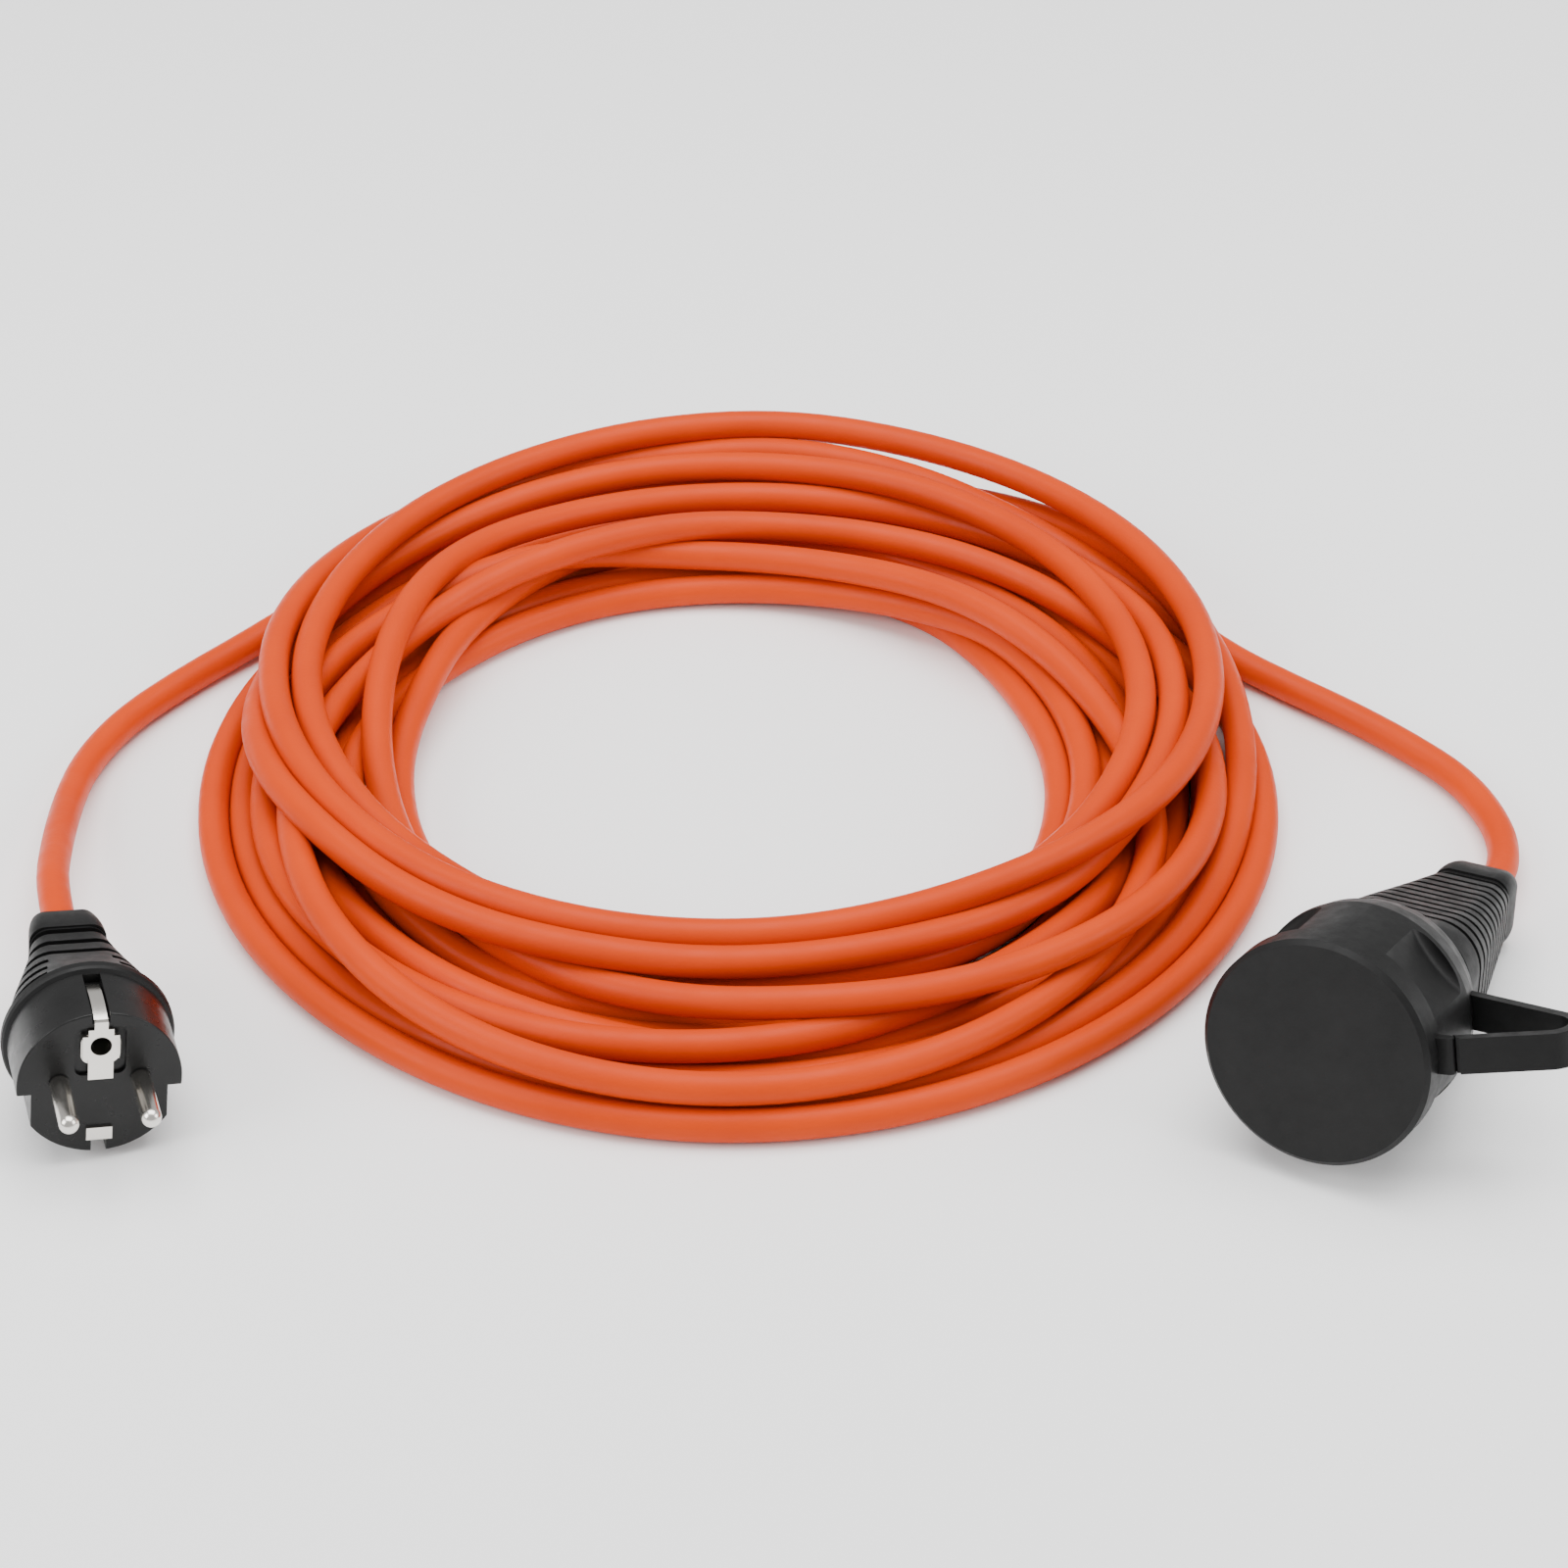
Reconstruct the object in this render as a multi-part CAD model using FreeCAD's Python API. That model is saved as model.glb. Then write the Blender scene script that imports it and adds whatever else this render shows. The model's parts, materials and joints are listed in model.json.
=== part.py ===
import FreeCAD, Part
import math
import os

# Extension cord. A moulded mains plug and a moulded rubber coupler with a hinged cap sit on the two
# ends of one cable, and the cable lies in a loose round coil between them.
# Row frame: millimetres, +Z up, Z = 0 is the surface that everything lies on. The origin is the middle
# of the two connectors' common footprint. +X runs from the plug towards the coupler.
# Each connector is modelled in a frame of its own: +X out of its front, +Z up, X = 0 at its front plane.

V = FreeCAD.Vector

# ---- cable ---------------------------------------------------------------------------------------
CORD_D = 8.3
CORD_R = CORD_D / 2.0
CORE_R = 1.45
CORE_RING = 1.9                 # the three cores sit on this radius inside the sheath

# ---- the standard pin layout that both connectors share ------------------------------------------
PIN_Y = 9.5                     # live and neutral stand this far each side of the axis
PIN_R = 2.4
PIN_LENGTH = 19.0
EARTH_Z = 10.0                  # earth hole above the pin line

# ---- where the connectors lie: front centre, yaw from -Y towards -X, pitch up, roll ----------------
PLUG_AT = (-159.8, -37.2, 22.58)
PLUG_YAW = -16.5
PLUG_PITCH = 3.3
PLUG_ROLL = 7.2
SOCKET_AT = (124.8, -38.9, 32.78)
SOCKET_YAW = 30.2
SOCKET_PITCH = 12.4
SOCKET_ROLL = -5.0

# ---- plug ----------------------------------------------------------------------------------------
BODY_DROP = 0.8                 # the barrel and the flange sit this much below the pin line
BARREL_R = 19.4
BARREL_L = 17.5
BARREL_EDGE = 0.4               # rounding of the edge round the face
FLAT_Y = 16.0                   # side flats that clear the guide ribs of a socket
FLAT_TOP_Z = -2.8
FLANGE_R = 20.6
FLANGE_T = 3.2
FLANGE_ROUND = 1.5
SPIGOT_R = 13.5                 # hard insert's spigot inside the overmould
SPIGOT_L = 4.5
PLUG_L = 63.8                   # face to the end of the collar
PLUG_SHEATH_X = -38.0           # the sheath is stripped back to here
PIN_SHANK_L = 15.0
PIN_NECK_R = 1.8                # radius of the pin inside the insert
PIN_ROOT_X = 0.4                # the pin's full radius starts this far in front of the face
CRIMP_R = 2.0
CRIMP_L = 6.5
EARTH_HOLE_R = 2.5
EARTH_SLEEVE_R = 3.3
EARTH_SLEEVE_L = 13.0
SLEEVE_RIM = (9.2, 8.4, 2.6, 9.0)       # width, height, corner and middle Z of the sleeve's square rim
RECESS = (12.0, 13.2, 2.0, 8.2)         # the same of the recess that the rim lies in
RECESS_DEPTH = 1.0
STRIP_T = 0.8                   # stamped earth strip
STRIP_W = 3.2
NECK_W = 2.4                    # where the strip narrows
PLATE_STEPS = [(5.9, 0.8, 14.6), (8.6, 6.4, 12.8), (3.2, 14.0, 16.7)]   # width and Z range of the face plate
TOP_GROOVE_W = 4.2
TOP_GROOVE_Z = 15.9
TOP_STRIP_L = 15.5
TOP_STRIP_BOW = 1.2             # the strip bows outward by this much in the middle
BOTTOM_SLOT_W = 3.6
BOTTOM_SLOT_Z = -16.4
BOTTOM_PLATE_W = 6.1
BOTTOM_PLATE_Z = -13.0
BOTTOM_STRIP_X = -1.8
BOTTOM_STRIP_L = 8.5
BAR_X = -4.0                    # bar behind the face that joins the plates
BAR_W = 3.0
PLUG_GRIP = [                   # X, width, height, corner and middle Z of the tapering grip
    (-19.0, 39.0, 39.0, 18.4, -BODY_DROP),
    (-26.0, 36.0, 33.0, 14.5, -BODY_DROP),
    (-36.0, 29.0, 24.5, 9.0, -0.5),
    (-47.0, 21.6, 18.6, 5.6, -0.2),
    (-57.5, 17.4, 15.4, 4.2, 0.0),
]
PLUG_FULL_GROOVES = [-52.6, -46.2, -39.8]
PLUG_SIDE_GROOVES = [-34.0, -28.6, -23.8]
PLUG_GROOVE_W = 2.3
PLUG_GROOVE_DEPTH = 1.4
PLUG_COLLAR = [
    (-54.6, 18.8, 17.0, 4.0),
    (-57.6, 18.4, 16.6, 3.8),
    (-PLUG_L, 15.8, 14.4, 3.4),
]

# ---- coupler -------------------------------------------------------------------------------------
MOUTH_R = 24.5
MOUTH_L = 6.2
WELL_R = 19.75
WELL_L = 17.5
INSERT_R = 22.4
FLOOR_T = 3.0                   # thickness of the floor of the well
CONTACT_HOLE_R = 2.75
RIB_INNER_Y = FLAT_Y + 0.7      # guide ribs at the sides of the well
RIB_Z = (-8.2, -3.2)
CLIP_SLOT_W = 6.6               # slots in the wall of the well for the earth clips
CLIP_SLOT_Z = 21.3
DRUM_R = 27.0
DRUM_END_X = -28.0
SHOULDER = [(-33.5, 25.8), (-38.0, 24.2), (-41.0, 22.8)]    # X and radius behind the drum
SHOULDER_X = -43.0
SHOULDER_R = 21.5
RIM_EDGE = 0.6
SCOOP_R = 40.0                  # four shallow scoops leave a pad on each side of the drum
SCOOP_DEPTH = 2.8
SCOOP_END_X = -26.4
SCOOP_EDGE = 2.4
SOCKET_L = 108.0                # mouth to the end of the collar
SOCKET_GRIP = [
    (-42.0, 42.4, 37.0, 14.0),
    (-52.0, 40.5, 33.5, 11.0),
    (-70.0, 33.5, 27.0, 8.0),
    (-87.0, 26.0, 21.5, 6.0),
    (-101.0, 19.8, 17.6, 4.8),
]
SOCKET_GROOVE_X = -50.5         # first groove, behind the shoulder
SOCKET_GROOVE_PITCH = 4.6
SOCKET_GROOVES = 11
SOCKET_GROOVE_W = 1.6
SOCKET_GROOVE_DEPTH = 1.1
SOCKET_COLLAR = [
    (-99.0, 20.2, 19.4, 4.6),
    (-103.5, 20.2, 19.4, 4.6),
    (-SOCKET_L, 18.4, 17.4, 4.0),
]
SOCKET_SHEATH_X = -64.0
CARRIER_R = 20.0
CARRIER_X = -23.2               # front face of the contact carrier
CARRIER_END_X = -34.0
SKIRT_R = 21.4                  # inner radius of the insert's rear skirt
SHUTTER_R = 14.0
SHUTTER_T = 1.6
SHUTTER_X = -21.0               # front face of the shutter disc
SHUTTER_TURN = 36.0             # turn that brings the windows to the contact holes
SHUTTER_WINDOW_R = 2.9
HUB_R = 3.0
HUB_CLEARANCE = 0.05
SPRING_R = 5.1
SPRING_WIRE_R = 0.4
SPRING_SWEEP = 320.0            # degrees of the ring, which is open at its ends
SPRING_GROOVE = (4.4, 5.8)      # inner and outer radius of its groove in the carrier
SPRING_GROOVE_L = 2.2
CONTACT_R = 3.4
CONTACT_L = 14.0
CONTACT_SETBACK = 0.3
CLIP_W = 5.0                    # socket's earth clips
CLIP_BAR_X = CARRIER_END_X - 2.6
CLIP_OUTER_Z = (20.2, 21.0)
CLIP_INNER_Z = (17.6, 18.4)
CLIP_X = (-14.0, -6.0)
CLIP_FRONT_X = -3.0
TERMINAL_L = 4.0                # the live and neutral crimps end this far behind the carrier

# ---- cap and its tether --------------------------------------------------------------------------
CAP_TURN = 9.6                  # the strap's plane is turned this far about the coupler's axis
CAP_R = 28.2
CAP_GAP = 0.2
CAP_T = 2.4
CAP_EDGE = 1.2
CAP_SKIRT_IN_R = 25.0
CAP_SKIRT_X = -5.6
LIFT_TAB_L = 2.4
LIFT_TAB_W = 8.0
LIFT_TAB_OUT = 1.6
HINGE_X = -4.2
HINGE_Y = 30.6
HINGE_R = 1.3
STRAP_W = 8.8
STRAP_T = 2.5
STRAP_GAP = 0.3                 # between the knuckle and its seat
STRAP_OUT_DEG = 111.0           # headings of the strap's two arms, from the coupler's +X towards its +Y
STRAP_BACK_DEG = 252.0
STRAP_OUT_L = 22.5
STRAP_BACK_L = 32.0
STRAP_BEND_R = 6.2

# ---- coil: one ring with rounded top edges ---------------------------------------------------------
COIL_CENTRE = (-13.5, 113.0)
COIL_OUT_R = 149.5
COIL_IN_R = 86.5
COIL_H = 34.0
COIL_EDGE = 12.0                # rounding of the top edges

# ---- leads: points of the route, from the connector to inside the coil ------------------------------
PLUG_LEAD = [
    (-187.0, 69.0, 12.4),
    (-188.5, 94.0, 7.6),
    (-187.5, 118.0, 4.6),
    (-179.5, 140.0, 4.3),
    (-165.5, 159.5, 4.3),
    (-149.0, 178.5, 4.6),
    (-131.0, 196.0, 5.5),
]
PLUG_LEAD_EXIT_L = 22.0
SOCKET_LEAD = [
    (188.1, 76.7, 5.1),
    (187.9, 92.3, 4.4),
    (181.7, 111.5, 4.3),
    (169.0, 128.0, 4.3),
    (154.4, 143.5, 4.3),
    (138.4, 157.9, 4.3),
    (122.8, 172.7, 4.8),
    (107.0, 189.0, 6.0),
]
SOCKET_LEAD_EXIT_L = 12.6
ARC_SHARE = 0.45                # an arc takes this share of the shorter run on each side


# ---- small helpers -------------------------------------------------------------------------------
def box(x0, x1, y0, y1, z0, z1):
    return Part.makeBox(x1 - x0, y1 - y0, z1 - z0, V(x0, y0, z0))


def strip(x0, x1, width, z0, z1):
    return box(x0, x1, -width / 2.0, width / 2.0, z0, z1)


def rod(x0, x1, radius, y=0.0, z=0.0):
    return Part.makeCylinder(radius, x1 - x0, V(x0, y, z), V(1, 0, 0))


def tube_ring(x0, x1, inner, outer, y=0.0, z=0.0):
    return rod(x0, x1, outer, y, z).cut(rod(x0 - 1.0, x1 + 1.0, inner, y, z))


def fuse(shapes):
    result = shapes[0].fuse(shapes[1:]) if len(shapes) > 1 else shapes[0]
    return result.removeSplitter()


def cut(shape, tools):
    return shape.cut(tools).removeSplitter() if tools else shape


def rounded_rect(x, width, height, corner, centre_z=0.0):
    """Closed wire in the plane X = x: a rectangle with round corners."""
    half_w = width / 2.0
    half_h = height / 2.0
    edges = []
    sides = [(1, 1), (-1, 1), (-1, -1), (1, -1)]
    diagonal = corner * math.sqrt(0.5)
    ends = []
    for sign_y, sign_z in sides:
        mid = V(x, sign_y * (half_w - corner), centre_z + sign_z * (half_h - corner))
        on_side = mid + V(0, sign_y * corner, 0)
        on_top = mid + V(0, 0, sign_z * corner)
        bulge = mid + V(0, sign_y * diagonal, sign_z * diagonal)
        first, last = (on_side, on_top) if sign_y * sign_z > 0 else (on_top, on_side)
        edges.append(Part.Arc(first, bulge, last).toShape())
        ends.append((first, last))
    for index in range(len(sides)):
        start = ends[index][1]
        finish = ends[(index + 1) % len(sides)][0]
        edges.append(Part.makeLine(start, finish))
    return Part.Wire(Part.__sortEdges__(edges))


def loft(sections):
    return Part.makeLoft([rounded_rect(*section) for section in sections], True, False)


def prism(x0, x1, width, height, corner, centre_z=0.0):
    face = Part.Face(rounded_rect(x0, width, height, corner, centre_z))
    return face.extrude(V(x1 - x0, 0, 0))


def revolve_x(points):
    """Solid of revolution about X from (x, radius) points; the outline closes along the axis."""
    outline = [V(x, 0, r) for x, r in points]
    outline.append(outline[0])
    return Part.Face(Part.makePolygon(outline)).revolve(V(0, 0, 0), V(1, 0, 0), 360.0)


def placed(shape, at, yaw, pitch, roll):
    """Moves a shape from its connector's frame to the row frame."""
    yaw, pitch, roll = (math.radians(angle) for angle in (yaw, pitch, roll))
    front = V(-math.sin(yaw) * math.cos(pitch), -math.cos(yaw) * math.cos(pitch), math.sin(pitch))
    level_up = V(math.sin(yaw) * math.sin(pitch), math.cos(yaw) * math.sin(pitch), math.cos(pitch))
    level_side = level_up.cross(front)
    up = level_up * math.cos(roll) + level_side * math.sin(roll)
    side = up.cross(front)
    matrix = FreeCAD.Matrix(
        front.x, side.x, up.x, at[0],
        front.y, side.y, up.y, at[1],
        front.z, side.z, up.z, at[2],
        0, 0, 0, 1)
    moved = shape.copy()
    moved.transformShape(matrix, True)
    return moved


def on_plug(shape):
    return placed(shape, PLUG_AT, PLUG_YAW, PLUG_PITCH, PLUG_ROLL)


def on_socket(shape):
    return placed(shape, SOCKET_AT, SOCKET_YAW, SOCKET_PITCH, SOCKET_ROLL)


# ---- tubes along a route of straight runs and tangent arcs ------------------------------------------
def route_path(points, report=None):
    """Wire of runs and arcs. Each arc takes ARC_SHARE of its shorter run."""
    edges = []
    start = points[0]
    radii = []
    for before, corner, after in zip(points, points[1:], points[2:]):
        back = (before - corner)
        ahead = (after - corner)
        reach = ARC_SHARE * min(back.Length, ahead.Length)
        back.normalize()
        ahead.normalize()
        half_turn = (math.pi - back.getAngle(ahead)) / 2.0
        radius = reach / math.tan(half_turn)
        enter = corner + back * reach
        leave = corner + ahead * reach
        bisector = back + ahead
        bisector.normalize()
        middle = corner + bisector * (radius / math.cos(half_turn) - radius)
        edges.append(Part.LineSegment(start, enter).toShape())
        edges.append(Part.Arc(enter, middle, leave).toShape())
        start = leave
        radii.append(round(radius, 1))
    edges.append(Part.LineSegment(start, points[-1]).toShape())
    if report:
        print(report, "arc radii", radii)
    return Part.Wire(edges)


def tube(points, radius, report=None):
    path = route_path(points, report)
    direction = points[1] - points[0]
    section = Part.Wire(Part.makeCircle(radius, points[0], direction))
    solid = path.makePipeShell([section], True, False)
    if report:
        share = solid.Volume / (math.pi * radius ** 2 * path.Length)
        print(report, "length", round(path.Length, 1), "volume over section times length", round(share, 4))
    return solid


# ---- parts that both connectors use -----------------------------------------------------------------
def ribbed_grip(sections, full_grooves, side_grooves, width, depth):
    """Tapering grip with grooves across it. Side grooves leave the middle of the top and bottom whole."""
    body = loft(sections)
    grooves = []
    for x in full_grooves + side_grooves:
        wide, high, corner, *middle = section_at(sections, x)
        slab = prism(x - width / 2.0, x + width / 2.0, wide + 4.0, high + 4.0, corner, *middle)
        core = prism(x - width, x + width, wide - 2 * depth, high - 2 * depth, corner - depth, *middle)
        groove = slab.cut(core)
        if x in side_grooves:
            groove = groove.cut(box(x - width, x + width, -wide / 4.0, wide / 4.0, -wide, wide))
        grooves.append(groove)
    return cut(body, grooves)


def section_at(sections, x):
    """Width, height, corner and any middle Z of a tapering body at x, between the nearest sections."""
    for before, after in zip(sections, sections[1:]):
        if after[0] <= x <= before[0]:
            share = (before[0] - x) / (before[0] - after[0])
            return [low + share * (high - low) for low, high in zip(before[1:], after[1:])]
    raise ValueError(x)


def core_ends(index):
    angle = math.radians(90.0 + 120.0 * index)
    return CORE_RING * math.cos(angle), CORE_RING * math.sin(angle)


def core_wire(start_x, start_y, start_z, end_x, index):
    """Insulated core from a crimp to the stripped end of the sheath."""
    end_y, end_z = core_ends(index)
    third = (end_x - start_x) / 3.0
    points = [
        V(start_x, start_y, start_z),
        V(start_x + third, start_y, start_z),
        V(end_x - third, end_y, end_z),
        V(end_x, end_y, end_z),
    ]
    return tube(points, CORE_R)


# ---- plug --------------------------------------------------------------------------------------------
def plug_pin(y):
    ball = PIN_LENGTH - PIN_R
    return fuse([
        rod(PIN_ROOT_X, ball, PIN_R, y),
        Part.makeSphere(PIN_R, V(ball, y, 0)),
        rod(-PIN_SHANK_L, PIN_ROOT_X, PIN_NECK_R, y),
    ])


def plug_crimps():
    places = [(PIN_Y, 0.0), (-PIN_Y, 0.0), (0.0, EARTH_Z)]
    return [rod(-PIN_SHANK_L - CRIMP_L, -PIN_SHANK_L, CRIMP_R, y, z) for y, z in places]


def plug_cores():
    start = -PIN_SHANK_L - CRIMP_L
    places = [(0.0, EARTH_Z, 0), (-PIN_Y, 0.0, 1), (PIN_Y, 0.0, 2)]
    return [core_wire(start, y, z, PLUG_SHEATH_X, index) for y, z, index in places]


def bowed_strip(start_x, end_x, width, z, bow):
    """Strip that starts and ends at height z and bows outward in the middle."""
    middle_x = (start_x + end_x) / 2.0
    near = [V(start_x, -width / 2.0, z), V(middle_x, -width / 2.0, z + bow), V(end_x, -width / 2.0, z)]
    far = [point + V(0, 0, STRIP_T) for point in near]
    outline = Part.Wire([
        Part.Arc(*near).toShape(), Part.makeLine(near[2], far[2]),
        Part.Arc(*far[::-1]).toShape(), Part.makeLine(far[0], near[0]),
    ])
    return Part.Face(outline).extrude(V(0, width, 0))


def plug_earth_bracket():
    """One stamped piece: bowed strip along the top, plate on the face, bar behind it, lower clip."""
    plate = [strip(0, STRIP_T, width, low, high) for width, low, high in PLATE_STEPS]
    top_strip = [
        bowed_strip(-TOP_STRIP_L, -0.5, STRIP_W, TOP_GROOVE_Z, TOP_STRIP_BOW),
        strip(-1.2, STRIP_T, NECK_W, TOP_GROOVE_Z, TOP_GROOVE_Z + STRIP_T),
    ]
    lower_clip = [
        strip(0, STRIP_T, BOTTOM_PLATE_W, BOTTOM_SLOT_Z, BOTTOM_PLATE_Z),
        strip(BAR_X, 0.1, BAR_W, BOTTOM_PLATE_Z - STRIP_T, BOTTOM_PLATE_Z),
        strip(BOTTOM_STRIP_X - BOTTOM_STRIP_L, BOTTOM_STRIP_X, BAR_W, BOTTOM_SLOT_Z - STRIP_T, BOTTOM_SLOT_Z),
    ]
    plate_foot_z = PLATE_STEPS[0][1]
    bar = [
        strip(BAR_X, 0.1, BAR_W, plate_foot_z, plate_foot_z + 0.6),
        strip(BAR_X, BAR_X + STRIP_T, BAR_W, BOTTOM_SLOT_Z - STRIP_T, plate_foot_z + 0.6),
    ]
    return cut(fuse(plate + top_strip + lower_clip + bar), [rod(-1, 2, EARTH_HOLE_R, 0, EARTH_Z)])


def plug_earth_sleeve():
    """Sleeve for the pin of a pin-earthed socket, with a square rim behind the plate."""
    rim = prism(-RECESS_DEPTH, 0.0, *SLEEVE_RIM)
    body = rod(-EARTH_SLEEVE_L, 0.0, EARTH_SLEEVE_R, 0, EARTH_Z)
    return cut(fuse([body, rim]), [rod(-EARTH_SLEEVE_L - 1, 1, EARTH_HOLE_R, 0, EARTH_Z)])


def plug_front_insert(held):
    barrel = Part.makeCylinder(BARREL_R, BARREL_L, V(-BARREL_L, 0, 0), V(1, 0, 0))
    face_edge = [e for e in barrel.Edges if abs(e.BoundBox.XMin) < 0.01 and abs(e.BoundBox.XMax) < 0.01]
    barrel = barrel.makeFillet(BARREL_EDGE, face_edge)
    barrel.translate(V(0, 0, -BODY_DROP))
    spigot = rod(-BARREL_L - SPIGOT_L, -BARREL_L, SPIGOT_R)
    far = BARREL_R + 2.0
    cutters = [
        box(-BARREL_L, 1.0, FLAT_Y, far, -far, FLAT_TOP_Z),
        box(-BARREL_L, 1.0, -far, -FLAT_Y, -far, FLAT_TOP_Z),
        strip(-BARREL_L, 1.0, TOP_GROOVE_W, TOP_GROOVE_Z, far),
        strip(-BARREL_L, 1.0, BOTTOM_SLOT_W, -far, BOTTOM_SLOT_Z),
        prism(-RECESS_DEPTH, 1.0, *RECESS),
        rod(-EARTH_SLEEVE_L, 1.0, EARTH_HOLE_R, 0, EARTH_Z),
    ]
    return cut(fuse([barrel, spigot]), cutters + held)


def plug_body(held):
    back_x = -BARREL_L - FLANGE_T
    flange = revolve_x([
        (-BARREL_L, 0), (-BARREL_L, FLANGE_R - FLANGE_ROUND),
        (-BARREL_L - FLANGE_ROUND / 2.0, FLANGE_R - 0.4),
        (-BARREL_L - FLANGE_ROUND, FLANGE_R), (back_x, FLANGE_R),
        (back_x - FLANGE_ROUND, FLANGE_R - FLANGE_ROUND), (back_x - FLANGE_ROUND, 0),
    ])
    flange.translate(V(0, 0, -BODY_DROP))
    grip = ribbed_grip(PLUG_GRIP, PLUG_FULL_GROOVES, PLUG_SIDE_GROOVES, PLUG_GROOVE_W, PLUG_GROOVE_DEPTH)
    return cut(fuse([flange, grip, loft(PLUG_COLLAR)]), held)


def sheath_end(x, length):
    return rod(-length, x, CORD_R)


# ---- coupler ---------------------------------------------------------------------------------------------
def drum_scoop(angle):
    """Cylinder that cuts one scoop, rounded only at its rear end."""
    offset = DRUM_R - SCOOP_DEPTH + SCOOP_R
    base = V(-MOUTH_L, offset * math.cos(angle), offset * math.sin(angle))
    scoop = Part.makeCylinder(SCOOP_R, -MOUTH_L - SCOOP_END_X, base, V(-1, 0, 0))
    rear = [e for e in scoop.Edges if e.Closed and e.BoundBox.XMax < SCOOP_END_X + 0.01]
    return scoop.makeFillet(SCOOP_EDGE, rear)


def socket_envelope():
    """Outer shape of the coupler's overmould, with no hollow inside."""
    drum = revolve_x([
        (0, 0), (0, MOUTH_R - RIM_EDGE), (-RIM_EDGE, MOUTH_R), (-MOUTH_L, MOUTH_R),
        (-MOUTH_L, DRUM_R - RIM_EDGE), (-MOUTH_L - RIM_EDGE, DRUM_R), (DRUM_END_X, DRUM_R),
        *SHOULDER, (SHOULDER_X, SHOULDER_R), (SHOULDER_X, 0),
    ])
    drum = cut(drum, [drum_scoop(math.radians(45.0 + 90.0 * quarter)) for quarter in range(4)])
    grooves = [SOCKET_GROOVE_X - SOCKET_GROOVE_PITCH * step for step in range(SOCKET_GROOVES)]
    grip = ribbed_grip(SOCKET_GRIP, grooves, [], SOCKET_GROOVE_W, SOCKET_GROOVE_DEPTH)
    return fuse([drum, grip, loft(SOCKET_COLLAR)])


def insert_outline():
    """Space that the hard front insert and everything behind it fill inside the overmould."""
    return rod(CARRIER_END_X, 0.0, INSERT_R).cut(rod(CARRIER_END_X - 1, -WELL_L - FLOOR_T, SKIRT_R))


def socket_body(held):
    hollow = [rod(CARRIER_END_X, 1.0, INSERT_R)]
    return cut(socket_envelope(), hollow + held)


def both_signs(low, high):
    """The range from low to high on the plus side, and its mirror on the minus side."""
    return [(low, high), (-high, -low)]


def guide_ribs():
    """Ribs at the two sides of the well; a plug's side flats pass them."""
    sides = both_signs(RIB_INNER_Y, WELL_R + 0.4)
    return [box(-WELL_L - 0.5, -1.5, low, high, *RIB_Z) for low, high in sides]


def socket_front_insert():
    shell = insert_outline().cut(rod(-WELL_L, 1.0, WELL_R))
    shell = fuse([shell] + guide_ribs())
    cutters = [rod(-WELL_L - FLOOR_T - 1, 0, CONTACT_HOLE_R, side * PIN_Y) for side in (-1, 1)]
    for low, high in both_signs(CLIP_INNER_Z[0] + 0.4, CLIP_SLOT_Z):
        cutters.append(strip(-WELL_L - 1.0, -2.0, CLIP_SLOT_W, low, high))
    for low, high in both_signs(CARRIER_R + 0.05, CLIP_SLOT_Z):
        cutters.append(strip(CARRIER_END_X - 1, -WELL_L, CLIP_SLOT_W, low, high))
    return cut(shell, cutters)


def socket_earth_bracket():
    """Two spring clips that reach into the well, joined by a bar behind the contact carrier."""
    reach = CLIP_OUTER_Z[1]
    pieces = [strip(CLIP_BAR_X, CLIP_BAR_X + STRIP_T, CLIP_W, -reach, reach)]
    for low, high in both_signs(*CLIP_OUTER_Z):
        pieces.append(strip(CLIP_BAR_X, CLIP_FRONT_X, CLIP_W, low, high))
    for low, high in both_signs(*CLIP_INNER_Z):
        pieces.append(strip(CLIP_X[0], CLIP_X[1], CLIP_W, low, high))
    for low, high in both_signs(CLIP_INNER_Z[0], reach):
        pieces.append(strip(CLIP_X[0], CLIP_X[0] + STRIP_T, CLIP_W, low, high))
        pieces.append(strip(CLIP_X[1] - STRIP_T, CLIP_X[1], CLIP_W, low, high))
    return fuse(pieces)


def socket_contact(y):
    return tube_ring(CARRIER_X - CONTACT_L, CARRIER_X - CONTACT_SETBACK, PIN_R, CONTACT_R, y)


def socket_crimps():
    back_x = CARRIER_END_X - TERMINAL_L - CRIMP_L
    shapes = [rod(back_x, CARRIER_X - CONTACT_L, CRIMP_R, side * PIN_Y) for side in (-1, 1)]
    shapes.append(rod(back_x, CLIP_BAR_X, CRIMP_R, 0, EARTH_Z))
    return shapes


def socket_cores():
    start = CARRIER_END_X - TERMINAL_L - CRIMP_L
    places = [(0.0, EARTH_Z, 0), (-PIN_Y, 0.0, 1), (PIN_Y, 0.0, 2)]
    return [core_wire(start, y, z, SOCKET_SHEATH_X, index) for y, z, index in places]


def shutter_disc():
    disc = rod(SHUTTER_X - SHUTTER_T, SHUTTER_X, SHUTTER_R)
    angle = math.radians(SHUTTER_TURN)
    back_x = SHUTTER_X - SHUTTER_T - 1
    cutters = [rod(back_x, SHUTTER_X + 1, HUB_R + HUB_CLEARANCE)]
    for side in (-1, 1):
        y = side * PIN_Y * math.cos(angle)
        z = -side * PIN_Y * math.sin(angle)
        cutters.append(rod(back_x, SHUTTER_X + 1, SHUTTER_WINDOW_R, y, z))
    return cut(disc, cutters)


def shutter_spring():
    """Open ring of spring wire round the hub, in a groove of the carrier."""
    centre = V(CARRIER_X - SPRING_GROOVE_L + SPRING_WIRE_R + 0.3, 0, 0)
    return Part.makeTorus(SPRING_R, SPRING_WIRE_R, centre, V(1, 0, 0), 0, 360, SPRING_SWEEP)


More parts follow.
